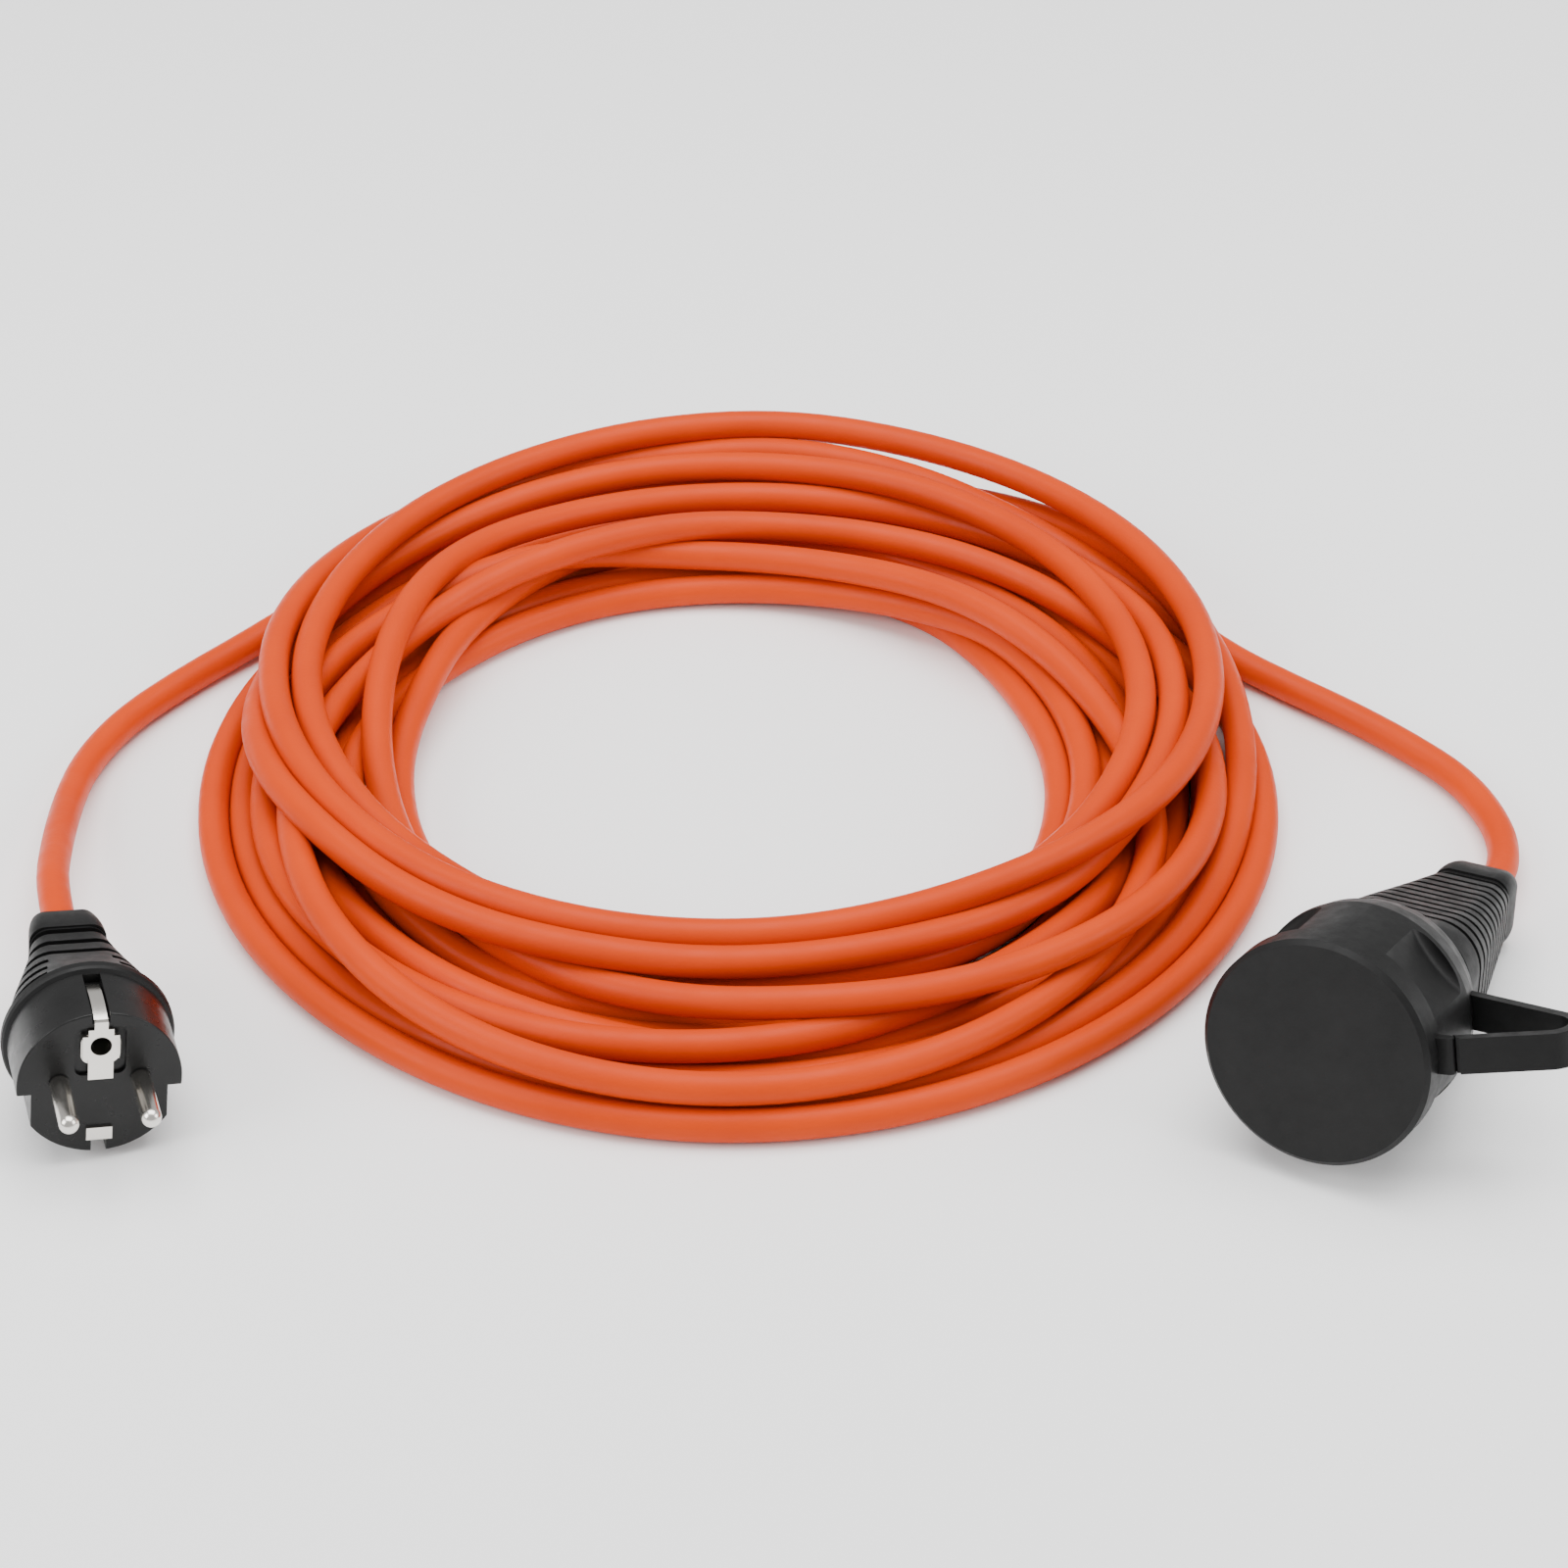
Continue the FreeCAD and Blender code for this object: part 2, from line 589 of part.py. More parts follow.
def contact_carrier(held):
    carrier = rod(CARRIER_END_X, CARRIER_X, CARRIER_R)
    hub = rod(CARRIER_X, SHUTTER_X + 0.3, HUB_R)
    groove = tube_ring(CARRIER_X - SPRING_GROOVE_L, CARRIER_X + 0.01, *SPRING_GROOVE)
    bores = [rod(CARRIER_X - 1, CARRIER_X + 1, PIN_R + 0.2, side * PIN_Y) for side in (-1, 1)]
    pin_ways = [rod(CARRIER_X - CONTACT_L, CARRIER_X, PIN_R, side * PIN_Y) for side in (-1, 1)]
    return cut(fuse([carrier, hub]), [groove] + bores + pin_ways + held)


# ---- cap and strap -------------------------------------------------------------------------------------
def turned(shape):
    """Turns the cap or the strap about the coupler's axis to where the strap comes off."""
    shape.rotate(V(0, 0, 0), V(1, 0, 0), CAP_TURN)
    return shape


def cap_lid():
    front_x = CAP_GAP + CAP_T
    shell = revolve_x([
        (CAP_GAP, 0), (front_x, 0), (front_x, CAP_R - CAP_EDGE), (front_x - CAP_EDGE, CAP_R),
        (CAP_SKIRT_X, CAP_R), (CAP_SKIRT_X, CAP_SKIRT_IN_R), (CAP_GAP, CAP_SKIRT_IN_R),
    ])
    half_w = STRAP_W / 2.0
    lug = box(HINGE_X - HINGE_R, HINGE_X + HINGE_R, CAP_R - 2.0, HINGE_Y, -half_w, half_w)
    lug = lug.cut(rod(HINGE_X - 5, HINGE_X + 5, CAP_R - 0.6))
    knuckle = Part.makeCylinder(HINGE_R, STRAP_W, V(HINGE_X, HINGE_Y, -half_w))
    half_tab = LIFT_TAB_W / 2.0
    tab_y = -CAP_R - LIFT_TAB_OUT
    lift_tab = box(CAP_SKIRT_X, CAP_SKIRT_X + LIFT_TAB_L, tab_y, -CAP_R + 0.8, -half_tab, half_tab)
    return turned(fuse([shell, lug, knuckle, lift_tab]))


def heading(degrees):
    return V(math.cos(math.radians(degrees)), math.sin(math.radians(degrees)), 0)


def strap_outline(offset):
    """Line, arc and line of the strap's centre line, moved sideways by offset."""
    left = 90.0
    out = heading(STRAP_OUT_DEG)
    back = heading(STRAP_BACK_DEG)
    start = V(HINGE_X, HINGE_Y, 0)
    bend_in = start + out * STRAP_OUT_L
    centre = bend_in + heading(STRAP_OUT_DEG + left) * STRAP_BEND_R
    mid_deg = (STRAP_OUT_DEG + STRAP_BACK_DEG) / 2.0 - left
    bend_mid = centre + heading(mid_deg) * (STRAP_BEND_R - offset)
    bend_out = centre + heading(STRAP_BACK_DEG - left) * (STRAP_BEND_R - offset)
    first = start + heading(STRAP_OUT_DEG + left) * offset
    second = bend_in + heading(STRAP_OUT_DEG + left) * offset
    last = bend_out + back * STRAP_BACK_L
    return first, second, bend_mid, bend_out, last


def cap_strap():
    half_t = STRAP_T / 2.0
    a0, a1, a2, a3, a4 = strap_outline(half_t)
    b0, b1, b2, b3, b4 = strap_outline(-half_t)
    edges = [
        Part.makeLine(a0, a1), Part.Arc(a1, a2, a3).toShape(), Part.makeLine(a3, a4),
        Part.makeLine(a4, b4),
        Part.makeLine(b4, b3), Part.Arc(b3, b2, b1).toShape(), Part.makeLine(b1, b0),
        Part.makeLine(b0, a0),
    ]
    face = Part.Face(Part.Wire(edges))
    half_w = STRAP_W / 2.0
    band = face.extrude(V(0, 0, STRAP_W))
    band.translate(V(0, 0, -half_w))
    seat = Part.makeCylinder(HINGE_R + STRAP_GAP, STRAP_W + 2, V(HINGE_X, HINGE_Y, -half_w - 1))
    clear = Part.makeCylinder(2 * HINGE_R, STRAP_W + 2, V(HINGE_X, HINGE_Y, -half_w - 1))
    side = box(HINGE_X - 0.4, HINGE_X + 6, HINGE_Y - 6, HINGE_Y + 6, -half_w - 1, half_w + 1)
    return cut(turned(cut(band, [seat, clear.common(side)])), [socket_envelope()])


# ---- cord -----------------------------------------------------------------------------------------------
def cord_coil():
    base = V(COIL_CENTRE[0], COIL_CENTRE[1], 0)
    ring = Part.makeCylinder(COIL_OUT_R, COIL_H, base).cut(Part.makeCylinder(COIL_IN_R, COIL_H, base))
    top_edges = [e for e in ring.Edges if e.BoundBox.ZMin > COIL_H - 0.01]
    return ring.makeFillet(COIL_EDGE, top_edges)


def lead(place, length, exit_run, route, name):
    """Tube from the middle of a connector's collar, straight out, then along the route."""
    exit_line = place(Part.makeLine(V(-length, 0, 0), V(-length - exit_run, 0, 0)))
    ends = [vertex.Point for vertex in exit_line.Vertexes]
    points = ends + [V(*point) for point in route]
    print(name, "starts", [tuple(round(c, 2) for c in end) for end in ends])
    return tube(points, CORD_R, name)


# ---- assembly ---------------------------------------------------------------------------------------------
def plug_nodes():
    pins = [plug_pin(PIN_Y), plug_pin(-PIN_Y)]
    crimps = plug_crimps()
    cores = plug_cores()
    bracket = plug_earth_bracket()
    sleeve = plug_earth_sleeve()
    insert = plug_front_insert(pins + crimps + cores + [bracket, sleeve])
    sheath = sheath_end(PLUG_SHEATH_X, PLUG_L)
    spigot = rod(-BARREL_L - SPIGOT_L, -BARREL_L + 1.0, SPIGOT_R)
    body = plug_body([spigot, sheath] + crimps + cores)
    return {
        "plug_body": body,
        "plug_front_insert": insert,
        "plug_pin_live": pins[0],
        "plug_pin_neutral": pins[1],
        "plug_earth_bracket": bracket,
        "plug_earth_sleeve": sleeve,
        "plug_crimps": Part.makeCompound(crimps),
        "plug_core_earth": cores[0],
        "plug_core_neutral": cores[1],
        "plug_core_live": cores[2],
        "plug_sheath_end": sheath,
    }


def socket_nodes():
    contacts = [socket_contact(PIN_Y), socket_contact(-PIN_Y)]
    crimps = socket_crimps()
    cores = socket_cores()
    bracket = socket_earth_bracket()
    sheath = sheath_end(SOCKET_SHEATH_X, SOCKET_L)
    contact_ways = [rod(CARRIER_X - CONTACT_L, CARRIER_X, CONTACT_R, side * PIN_Y) for side in (-1, 1)]
    body = socket_body([bracket, sheath] + contact_ways + crimps + cores)
    return {
        "socket_body": body,
        "socket_front_insert": socket_front_insert(),
        "socket_contact_carrier": contact_carrier(contacts + crimps),
        "socket_contact_live": contacts[0],
        "socket_contact_neutral": contacts[1],
        "socket_earth_bracket": bracket,
        "socket_crimps": Part.makeCompound(crimps),
        "socket_core_earth": cores[0],
        "socket_core_neutral": cores[1],
        "socket_core_live": cores[2],
        "socket_sheath_end": sheath,
        "shutter_disc": shutter_disc(),
        "shutter_spring": shutter_spring(),
        "cap_lid": cap_lid(),
        "cap_strap": cap_strap(),
    }


def main():
    nodes = {name: on_plug(shape) for name, shape in plug_nodes().items()}
    nodes.update({name: on_socket(shape) for name, shape in socket_nodes().items()})
    footprint = Part.makeCompound(list(nodes.values())).BoundBox
    print("connectors' box", [round(v, 3) for v in (
        footprint.XMin, footprint.XMax, footprint.YMin, footprint.YMax, footprint.ZMin, footprint.ZMax)])
    nodes["cord_plug_run"] = lead(on_plug, PLUG_L, PLUG_LEAD_EXIT_L, PLUG_LEAD, "plug lead")
    nodes["cord_socket_run"] = lead(on_socket, SOCKET_L, SOCKET_LEAD_EXIT_L, SOCKET_LEAD, "socket lead")
    nodes["cord_coil"] = cord_coil()
    os.makedirs("parts", exist_ok=True)
    for name, shape in nodes.items():
        print(name, "solids", len(shape.Solids), "valid", shape.isValid(), "volume", round(shape.Volume, 1))
        shape.exportStep("parts/" + name + ".step")


main()
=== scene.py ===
import json
import math

import bpy
import numpy as np
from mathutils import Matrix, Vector


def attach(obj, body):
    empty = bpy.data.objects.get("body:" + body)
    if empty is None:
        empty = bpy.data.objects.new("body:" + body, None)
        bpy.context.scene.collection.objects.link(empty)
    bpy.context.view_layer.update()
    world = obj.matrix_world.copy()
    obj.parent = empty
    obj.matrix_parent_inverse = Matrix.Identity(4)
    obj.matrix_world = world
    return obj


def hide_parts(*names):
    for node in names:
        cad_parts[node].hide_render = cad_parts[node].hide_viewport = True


# Extension cord: a moulded plug, a rubber coupler with a tethered cap, and one orange cable in a loose
# round coil. Lengths are in metres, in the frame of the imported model.
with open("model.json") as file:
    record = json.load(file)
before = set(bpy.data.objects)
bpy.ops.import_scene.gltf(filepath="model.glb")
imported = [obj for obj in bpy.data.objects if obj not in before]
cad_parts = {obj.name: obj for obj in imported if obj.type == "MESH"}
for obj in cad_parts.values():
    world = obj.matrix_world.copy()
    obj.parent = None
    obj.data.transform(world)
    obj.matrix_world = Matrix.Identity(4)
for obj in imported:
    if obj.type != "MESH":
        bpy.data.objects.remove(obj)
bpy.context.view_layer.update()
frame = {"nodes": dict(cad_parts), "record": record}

# ---- driving sizes ----------------------------------------------------------------------------------
CORD_D = 0.0083
CORD_R = CORD_D / 2
PLUG_L = 0.0638                 # plug: face to the end of the collar
SOCKET_L = 0.1080               # coupler: mouth to the end of the collar
CONTACT_X = -0.0190             # middle of the coupler's contact holes, behind its mouth
PLUG_LEAD_EXIT_L = 0.022
SOCKET_LEAD_EXIT_L = 0.0126
COIL_CENTRE = (-0.0135, 0.1130)

# route points of the two leads, from the connector towards the coil
PLUG_LEAD = [
    (-0.1870, 0.0690, 0.0124),
    (-0.1885, 0.0940, 0.0076),
    (-0.1875, 0.1180, 0.0046),
    (-0.1795, 0.1400, 0.0043),
    (-0.1655, 0.1595, 0.0043),
    (-0.1490, 0.1785, 0.0046),
]
SOCKET_LEAD = [
    (0.1881, 0.0767, 0.0051),
    (0.1879, 0.0923, 0.0044),
    (0.1817, 0.1115, 0.0043),
    (0.1690, 0.1280, 0.0043),
    (0.1544, 0.1435, 0.0043),
    (0.1384, 0.1579, 0.0043),
    (0.1228, 0.1727, 0.0048),
]

# ---- the coil ----------------------------------------------------------------------------------------
# The winding starts where the plug's lead comes in, and runs clockwise seen from above.
COIL_START_DEG = 144.8
COIL_END_DEG = 32.2
COIL_FULL_TURNS = 13
COIL_START_R = 0.1439
COIL_END_R = 0.1425
# each loop's shift to the right, its shift to the back and its radius, in mm, from the floor up
LOOPS = [
    (0, 2, 141), (4, 5, 139), (2, 2, 131), (0, -2, 122),
    (-3, -4, 113), (-6, -4, 104), (-12, -8, 96), (14, 8, 106),
    (-16, -20, 112), (8, -22, 119), (20, 14, 113), (-13, 20, 116),
    (8, 34, 120), (-2, 35, 123), (-8, 34, 126), (-4, 12, 132),
]
COIL_OVAL = 0.004               # the loops are this much deeper, front to back, and narrower than round
COIL_RISE = 0.036               # height of the top loop before the loops settle
STEPS_PER_TURN = 96
STEPS_PER_POINT = 4             # every fourth step is a control point of the cord's spline
COIL_FLOOR_Z = 0.0043           # height of the bottom loop before the loops settle
COIL_START_Z = 0.0055           # height where the plug's lead comes in
COIL_END_Z = 0.006              # height where the coupler's lead goes out
COIL_LANDING_Z = 0.0055         # the last loop is brought down to this height before the loops settle
LEAD_IN_TURNS = 0.25            # the first loop eases from the plug's lead over this much of a turn
LEAD_OUT_TURNS = 0.3            # the last loop eases sideways into the coupler's lead
LEAD_OUT_DROP_TURNS = 0.42      # the last loop comes down from the pile over this much of a turn

# ---- settling of the coil: what each round does -----------------------------------------------------
SETTLE_ROUNDS = 500
LATE_ROUNDS = SETTLE_ROUNDS * 3 // 4    # after this many rounds everything moves more gently
TOUCH_GAP = CORD_D + 0.00005    # cord middles stay this far apart
TOUCH_FLOOR = CORD_R + 0.0001   # and this far above the floor
SINK = 0.00006                  # how far every step of the coil sinks in one round
SINK_LATE = 0.00002
PULL = 0.05                     # share of the way back to the wanted radius in one round
PULL_LATE = 0.004
PUSH_SHARE = 0.4                # each of two touching strands moves this share of the overlap
CROWD_SHARE = 0.6               # strands with several neighbours move less
PUSHES_PER_ROUND = 3


# ---- connector frames ----------------------------------------------------------------------------------
MOUNTS = {mount["name"]: mount for mount in frame["record"]["mounts"]}


def plug_axis():
    """Front centre of the plug and its outward axis."""
    pins = MOUNTS["plug_pins"]
    return Vector(pins["pos_m"]), Vector(pins["axis"]).normalized()


def socket_axis():
    """Mouth centre of the coupler and its outward axis."""
    live, neutral = MOUNTS["contact_hole_live"], MOUNTS["contact_hole_neutral"]
    front = Vector(live["axis"]).normalized()
    middle = (Vector(live["pos_m"]) + Vector(neutral["pos_m"])) / 2
    return middle - front * CONTACT_X, front


# ---- the cord's line ----------------------------------------------------------------------------------
def smooth_step(share):
    share = np.clip(share, 0, 1)
    return share * share * (3 - 2 * share)


def through(values, t):
    """Smooth curve through one value per turn (Catmull-Rom)."""
    values = np.array(values, float)
    i = np.clip(np.floor(t).astype(int), 0, len(values) - 2)
    f = t - i
    before, here = values[np.maximum(i - 1, 0)], values[i]
    there, after = values[i + 1], values[np.minimum(i + 2, len(values) - 1)]
    slope = (there - before) * f
    bend = (2 * before - 5 * here + 4 * there - after) * f ** 2
    twist = (3 * here - before - 3 * there + after) * f ** 3
    return (2 * here + slope + bend + twist) / 2


def relax(values, times):
    for _ in range(times):
        values = values.copy()
        values[1:-1] += (values[:-2] - 2 * values[1:-1] + values[2:]) / 4
    return values


def neighbours(count):
    """Index pairs of coil points that lie in the same cross-section, in different turns."""
    turns = math.ceil(count / STEPS_PER_TURN)
    first, second = [], []
    for lower in range(turns):
        for upper in range(lower + 1, turns):
            step = np.arange(STEPS_PER_TURN)
            a = lower * STEPS_PER_TURN + step
            b = upper * STEPS_PER_TURN + step
            first.append(a[b < count])
            second.append(b[b < count])
    return np.concatenate(first), np.concatenate(second)


def settle(radius, height):
    """Loops sink onto the floor and onto each other, and stay a diameter apart."""
    wanted = radius.copy()
    size = len(radius)
    a, b = neighbours(size)

    def moved(amount):
        return np.bincount(b, amount, size) - np.bincount(a, amount, size)

    for count in range(SETTLE_ROUNDS):
        late = count > LATE_ROUNDS
        height = height - (SINK_LATE if late else SINK)
        radius = radius + (wanted - radius) * (PULL_LATE if late else PULL)
        if count % 2 == 0:
            height, radius = relax(height, 3), relax(radius, 2)
            radius[0], radius[-1] = COIL_START_R, COIL_END_R
            height[0], height[-1] = COIL_START_Z, COIL_END_Z
        for _ in range(PUSHES_PER_ROUND):
            across, up = radius[b] - radius[a], height[b] - height[a]
            apart = np.sqrt(across ** 2 + up ** 2) + 1e-9
            push = PUSH_SHARE * np.maximum(TOUCH_GAP - apart, 0) / apart
            hits = (push > 0).astype(float)
            crowd = np.bincount(a, hits, size) + np.bincount(b, hits, size)
            share = 1 / np.maximum(1, crowd * CROWD_SHARE)
            radius = radius + share * moved(push * across)
            height = height + share * moved(push * up)
            height = np.maximum(height, TOUCH_FLOOR)
    return radius, height


def coil_points():
    """Control points of the coil, from the plug's lead to the coupler's lead."""
    sweep = COIL_START_DEG - COIL_END_DEG + 360 * COIL_FULL_TURNS
    steps = np.arange(round(sweep / 360 * STEPS_PER_TURN) + 1)
    t = steps / STEPS_PER_TURN
    angle = np.radians(COIL_START_DEG) - 2 * np.pi * t
    right, back, loop_r = (through([loop[k] for loop in LOOPS], t) / 1000 for k in range(3))
    radius = loop_r - COIL_OVAL * np.cos(2 * angle) + right * np.cos(angle) + back * np.sin(angle)
    height = COIL_FLOOR_Z + COIL_RISE * t / COIL_FULL_TURNS
    left = t[-1] - t
    ease = smooth_step(t / LEAD_IN_TURNS)
    radius = COIL_START_R * (1 - ease) + radius * ease
    ease = smooth_step(left / LEAD_OUT_TURNS)
    radius = COIL_END_R * (1 - ease) + radius * ease
    ease = smooth_step(left / LEAD_OUT_DROP_TURNS)
    height = COIL_LANDING_Z * (1 - ease) + height * ease
    radius, height = settle(radius, height)
    radius = radius / np.cos(np.pi * STEPS_PER_POINT / STEPS_PER_TURN)
    points = [
        Vector((COIL_CENTRE[0] + r * math.cos(a), COIL_CENTRE[1] + r * math.sin(a), z))
        for r, a, z in zip(radius, angle, height)
    ]
    return points[::STEPS_PER_POINT]


def cord_line():
    origin, front = plug_axis()
    leave = origin - front * PLUG_L
    start = [leave, leave - front * PLUG_LEAD_EXIT_L] + [Vector(p) for p in PLUG_LEAD]
    origin, front = socket_axis()
    arrive = origin - front * SOCKET_L
    end = [arrive, arrive - front * SOCKET_LEAD_EXIT_L] + [Vector(p) for p in SOCKET_LEAD]
    return start + coil_points() + end[::-1]


def make_cord():
    line = cord_line()
    data = bpy.data.curves.new("cord", "CURVE")
    data.dimensions = "3D"
    spline = data.splines.new("NURBS")
    spline.points.add(len(line) - 1)
    for point, place in zip(spline.points, line):
        point.co = (*place, 1.0)
    spline.order_u = 3
    spline.use_endpoint_u = True
    data.resolution_u = 6
    data.bevel_depth = CORD_R
    data.bevel_resolution = 7
    data.use_fill_caps = True
    cord = bpy.data.objects.new("cord", data)
    bpy.context.scene.collection.objects.link(cord)
    data.materials.append(sheath_material())
    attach(cord, "root")
    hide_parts("cord_plug_run", "cord_coil", "cord_socket_run")
    return cord


# ---- materials ------------------------------------------------------------------------------------------
class Surface:
    """A node material with a Principled shader, and short ways to add procedural detail to it."""

    def __init__(self, name, color, roughness, metallic=0.0):
        self.material = bpy.data.materials.new(name)
        self.material.use_nodes = True
        self.tree = self.material.node_tree
        self.shader = self.tree.nodes["Principled BSDF"]
        self.shader.inputs["Metallic"].default_value = metallic
        self.shader.inputs["Base Color"].default_value = (*color, 1)
        self.shader.inputs["Roughness"].default_value = roughness
        self.place = self.add("ShaderNodeTexCoord").outputs["Object"]
        self.height = None

    def add(self, kind, **settings):
        node = self.tree.nodes.new(kind)
        for name, value in settings.items():
            setattr(node, name, value)
        return node

    def link(self, output, target):
        self.tree.links.new(output, target)

    def noise(self, scale, detail=2.0, roughness=0.5, stretch=None):
        node = self.add("ShaderNodeTexNoise")
        node.inputs["Scale"].default_value = scale
        node.inputs["Detail"].default_value = detail
        node.inputs["Roughness"].default_value = roughness
        place = self.place
        if stretch:
            mapping = self.add("ShaderNodeMapping")
            mapping.inputs["Scale"].default_value = stretch
            self.link(place, mapping.inputs["Vector"])
            place = mapping.outputs["Vector"]
        self.link(place, node.inputs["Vector"])
        return node.outputs["Fac"]

    def ranged(self, value, low, high, start=0.3, end=0.7):
        node = self.add("ShaderNodeMapRange")
        for name, number in zip(("From Min", "From Max", "To Min", "To Max"), (start, end, low, high)):
            node.inputs[name].default_value = number
        self.link(value, node.inputs["Value"])
        return node.outputs["Result"]

    def mix_color(self, share, first, second):
        node = self.add("ShaderNodeMix", data_type="RGBA")
        self.link(share, node.inputs["Factor"])
        for socket, value in ((node.inputs[6], first), (node.inputs[7], second)):
            if isinstance(value, tuple):
                socket.default_value = (*value, 1)
            else:
                self.link(value, socket)
        return node.outputs[2]

    def bump(self, value, distance, strength=1.0):
        node = self.add("ShaderNodeBump")
        node.inputs["Distance"].default_value = distance
        node.inputs["Strength"].default_value = strength
        self.link(value, node.inputs["Height"])
        if self.height:
            self.link(self.height, node.inputs["Normal"])
        self.height = node.outputs["Normal"]
        self.link(self.height, self.shader.inputs["Normal"])

    def set(self, name, value):
        self.shader.inputs[name].default_value = value


def sheath_material():
    """Satin PVC: nearly even orange, with faint cloudiness, dust and extrusion unevenness."""
    s = Surface("orange_pvc", (0.54, 0.043, 0.0), 0.45)
    cloud = s.ranged(s.noise(26, 3), 0.0, 1.0)
    tone = s.mix_color(cloud, (0.51, 0.040, 0.0), (0.57, 0.047, 0.0))
    s.link(tone, s.shader.inputs["Base Color"])
    s.link(s.ranged(s.noise(160, 4), 0.36, 0.50), s.shader.inputs["Roughness"])
    s.bump(s.noise(900, 2), 0.00003)
    s.bump(s.noise(45, 2), 0.00025)
    s.set("Specular IOR Level", 0.13)
    return s.material


def rubber_material():
    """Black moulded rubber: satin, with fine grain, faint handling marks and a little dust."""
    s = Surface("black_rubber", (0.005, 0.005, 0.005), 0.5)
    cloud = s.ranged(s.noise(60, 4, 0.6), 0.0, 1.0)
    s.link(s.mix_color(cloud, (0.004, 0.004, 0.004), (0.007, 0.007, 0.007)), s.shader.inputs["Base Color"])
    s.link(s.ranged(s.noise(220, 5, 0.6), 0.40, 0.56), s.shader.inputs["Roughness"])
    s.bump(s.noise(2600, 3, 0.6), 0.00003)
    s.set("Specular IOR Level", 0.2)
    return s.material


def plastic_material(name, color, roughness):
    s = Surface(name, color, roughness)
    light = tuple(min(1.0, c * 1.25 + 0.003) for c in color)
    s.link(s.mix_color(s.ranged(s.noise(90, 4), 0, 1), color, light), s.shader.inputs["Base Color"])
    s.link(s.ranged(s.noise(300, 4), roughness * 0.85, roughness * 1.2), s.shader.inputs["Roughness"])
    s.bump(s.noise(1800, 2), 0.00002)
    s.set("Specular IOR Level", 0.25)
    return s.material


def metal_material(name, color, roughness):
    """Plated or plain metal: nearly even, with a soft cloudy polish."""
    s = Surface(name, color, roughness, 1.0)
    dull = tuple(c * 0.9 for c in color)
    s.link(s.mix_color(s.ranged(s.noise(60, 3), 0, 1), dull, color), s.shader.inputs["Base Color"])
    s.link(s.ranged(s.noise(180, 3), roughness * 0.85, roughness * 1.2), s.shader.inputs["Roughness"])
    s.bump(s.noise(500, 2), 0.000006)
    return s.material


def core_earth_material():
    s = Surface("core_green_yellow", (0.1, 0.4, 0.03), 0.4)
    wave = s.add("ShaderNodeTexWave", bands_direction="Z")
    wave.inputs["Scale"].default_value = 120
    s.link(s.place, wave.inputs["Vector"])
    share = s.ranged(wave.outputs["Fac"], 0, 1, 0.45, 0.55)
    s.link(s.mix_color(share, (0.06, 0.35, 0.03), (0.75, 0.6, 0.02)), s.shader.inputs["Base Color"])
    return s.material


def paint_nodes():
    """Every CAD node that shows or may show gets its material."""
    made = {
        "black_rubber": rubber_material(),
        "black_plastic": plastic_material("black_plastic", (0.005, 0.005, 0.005), 0.3),
        "nickel": metal_material("nickel", (0.76, 0.73, 0.68), 0.22),
        "brass": metal_material("brass", (0.78, 0.56, 0.25), 0.3),
        "grey_plastic": plastic_material("grey_plastic", (0.26, 0.27, 0.28), 0.4),
        "spring_steel": metal_material("spring_steel", (0.6, 0.6, 0.62), 0.3),
        "core_live": plastic_material("core_brown", (0.13, 0.045, 0.02), 0.4),
        "core_neutral": plastic_material("core_blue", (0.01, 0.07, 0.42), 0.4),
        "core_earth": core_earth_material(),
        "orange_sheath": sheath_material(),
    }
    for part in frame["record"]["subparts"]:
        node = frame["nodes"][part["node"]]
        node.data.materials.clear()
        node.data.materials.append(made[part["material_slot"]])


# ---- floor, light, camera ---------------------------------------------------------------------------------
TARGET = Vector((0.0005, 0.1160, 0.0))
CAMERA_DISTANCE = 1.080
CAMERA_ELEVATION = math.radians(35)
CAMERA_LENS_MM = 92.25
CAMERA_SENSOR_MM = 36.0
CAMERA_CLIP = 0.05
FLOOR_SIZE = 12.0
FLOOR_DROP = 0.0002             # the floor lies this far below the object's lowest point
WORLD_STRENGTH = 0.60


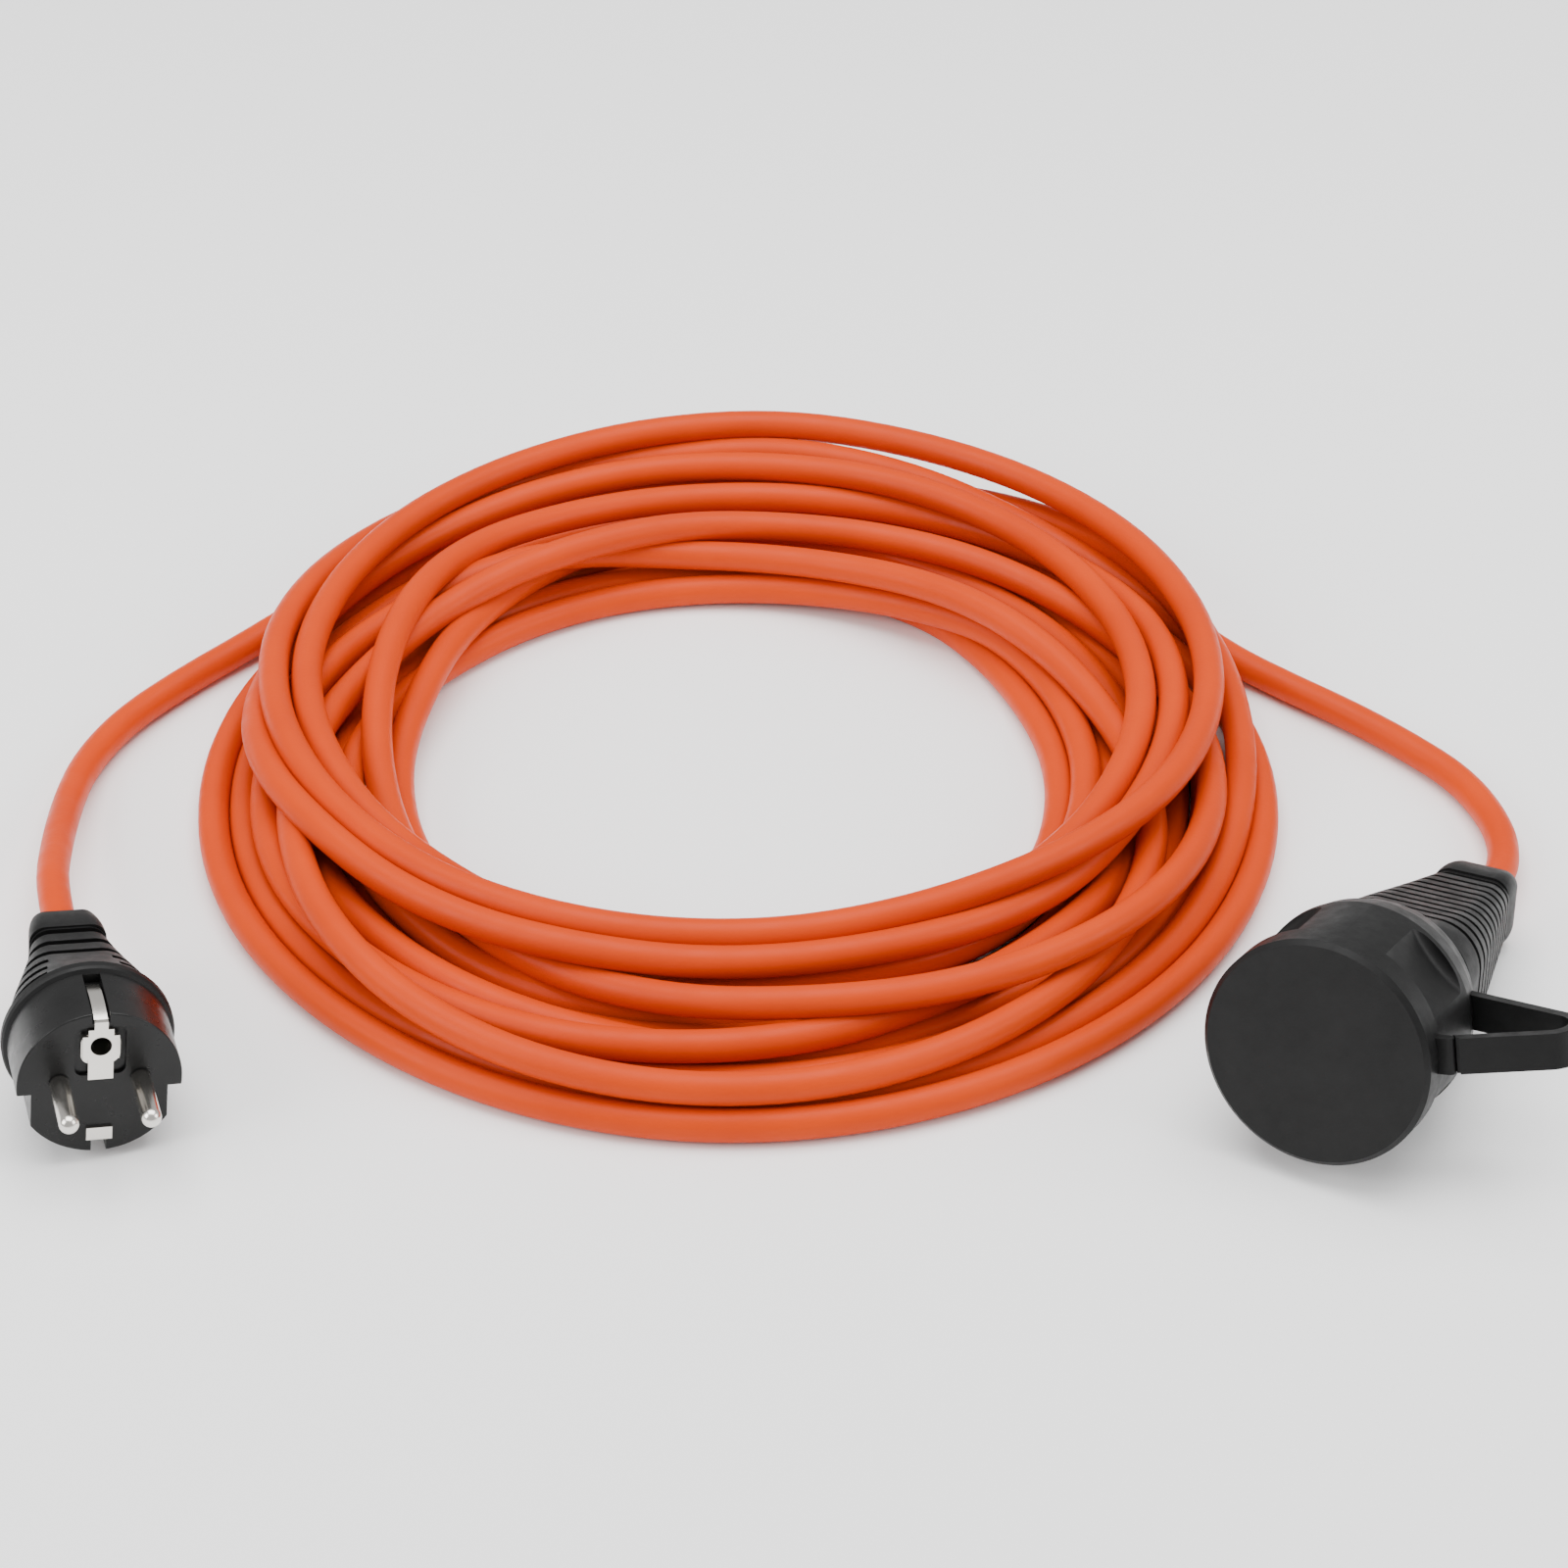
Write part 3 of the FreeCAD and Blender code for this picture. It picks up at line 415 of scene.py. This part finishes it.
def make_stage():
    mesh = bpy.data.meshes.new("floor")
    half = FLOOR_SIZE / 2
    corners = [(-half, -half, 0), (half, -half, 0), (half, half, 0), (-half, half, 0)]
    mesh.from_pydata(corners, [], [(0, 1, 2, 3)])
    floor = bpy.data.objects.new("floor", mesh)
    bpy.context.scene.collection.objects.link(floor)
    floor.location.z = -FLOOR_DROP
    material = bpy.data.materials.new("floor")
    material.use_nodes = True
    shader = material.node_tree.nodes["Principled BSDF"]
    shader.inputs["Base Color"].default_value = (0.95, 0.95, 0.95, 1)
    shader.inputs["Roughness"].default_value = 0.9
    mesh.materials.append(material)


def area_light(name, place, aim, size, power):
    data = bpy.data.lights.new(name, "AREA")
    data.shape = "RECTANGLE"
    data.size, data.size_y = size
    data.energy = power
    light = bpy.data.objects.new(name, data)
    bpy.context.scene.collection.objects.link(light)
    light.location = place
    light.rotation_mode = "QUATERNION"
    light.rotation_quaternion = (Vector(aim) - Vector(place)).to_track_quat("-Z", "Y")


def make_light():
    world = bpy.data.worlds.new("studio")
    world.use_nodes = True
    background = world.node_tree.nodes["Background"]
    background.inputs["Color"].default_value = (1, 1, 1, 1)
    background.inputs["Strength"].default_value = WORLD_STRENGTH
    bpy.context.scene.world = world
    area_light("top", (0, 0.2, 1.4), TARGET, (1.6, 1.2), 34)
    area_light("left", (-1.3, -0.5, 0.9), TARGET, (0.9, 0.9), 18)
    area_light("right", (1.4, -0.3, 0.8), TARGET, (0.8, 0.8), 13)


def make_camera():
    data = bpy.data.cameras.new("camera")
    data.sensor_width = CAMERA_SENSOR_MM
    data.lens = CAMERA_LENS_MM
    data.clip_start = CAMERA_CLIP
    camera = bpy.data.objects.new("camera", data)
    bpy.context.scene.collection.objects.link(camera)
    back = Vector((0, -math.cos(CAMERA_ELEVATION), math.sin(CAMERA_ELEVATION)))
    camera.location = TARGET + back * CAMERA_DISTANCE
    camera.rotation_mode = "QUATERNION"
    camera.rotation_quaternion = (-back).to_track_quat("-Z", "Y")
    bpy.context.scene.camera = camera


make_camera()
make_light()
make_stage()
paint_nodes()
make_cord()
